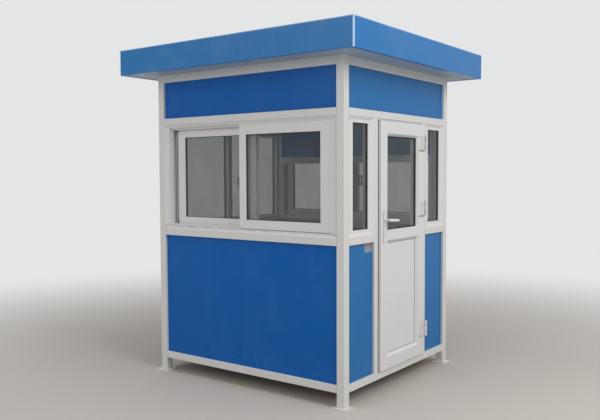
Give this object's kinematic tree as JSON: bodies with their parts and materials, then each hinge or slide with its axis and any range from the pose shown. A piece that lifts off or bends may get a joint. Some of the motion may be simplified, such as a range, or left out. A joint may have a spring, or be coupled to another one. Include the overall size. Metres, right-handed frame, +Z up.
{
  "type": "security guard booth",
  "caption": "Steel-framed guard booth on corner feet, with blue wall panels, white sliding and fixed windows, an outward-opening glazed door and a deep overhanging roof fascia.",
  "frame": {"origin": "centre of the booth's footprint, on the ground under the base plates", "axes": "+X to the right along the front, towards the door side; +Y from the front to the rear; +Z up"},
  "size_m": [2.1, 1.9, 2.458],
  "materials": {
    "white_steel": "satin",
    "blue_panel": "satin",
    "white_plastic": "satin",
    "window_glass": "gloss",
    "grey_latch": "satin",
    "white_hardware": "satin",
    "floor_board": "matte",
    "floor_joist": "satin",
    "roof_panel": "satin",
    "fascia_blue": "satin",
    "trim_blue": "gloss"
  },
  "bodies": {
    "booth": {"base_plates": "white_steel", "bottom_rails": "white_steel", "corner_posts": "white_steel", "corner_trims": "trim_blue", "door_frame": "white_plastic", "door_jambs": "white_steel", "fascia_front": "fascia_blue", "fascia_left": "fascia_blue", "fascia_rear": "fascia_blue", "fascia_right": "fascia_blue", "floor_deck": "floor_board", "floor_joists": "floor_joist", "front_window_frame": "white_plastic", "front_window_glass": "window_glass", "front_window_inner_sash": "white_plastic", "front_window_outer_sash": "white_plastic", "head_rails": "white_steel", "hinge_frame_leaves": "white_hardware", "left_window_frame": "white_plastic", "left_window_glass": "window_glass", "lower_panel_door_far": "blue_panel", "lower_panel_door_near": "blue_panel", "lower_panel_front": "blue_panel", "lower_panel_left": "blue_panel", "lower_panel_rear": "blue_panel", "rear_window_frame": "white_plastic", "rear_window_glass": "window_glass", "rear_window_inner_sash": "white_plastic", "rear_window_outer_sash": "white_plastic", "roof_panel": "roof_panel", "sash_latches": "grey_latch", "sidelight_frames": "white_plastic", "sidelight_glass": "window_glass", "sill_rails": "white_steel", "top_rails": "white_steel", "upper_panel_front": "blue_panel", "upper_panel_left": "blue_panel", "upper_panel_rear": "blue_panel", "upper_panel_right": "blue_panel"},
    "door": {"door_leaf": "white_plastic", "door_glass": "window_glass", "door_kick_panel": "white_plastic", "hinge_door_leaves": "white_hardware", "handle_plates": "white_hardware"},
    "door_lever": {"door_levers": "white_hardware"}
  },
  "joints": [
    {"name": "door_swing", "type": "hinge", "parent": "booth", "child": "door", "pos_m": [0.88, 0.328, 1], "axis": [0, 0, 1], "range_deg": [0, 110]},
    {"name": "lever_turn", "type": "hinge", "parent": "door", "child": "door_lever", "pos_m": [0.868, -0.276, 1.203], "axis": [-1, 0, 0], "range_deg": [0, 40], "stiffness_Nm_per_rad": 1, "springref_deg": -28.65}
  ]
}
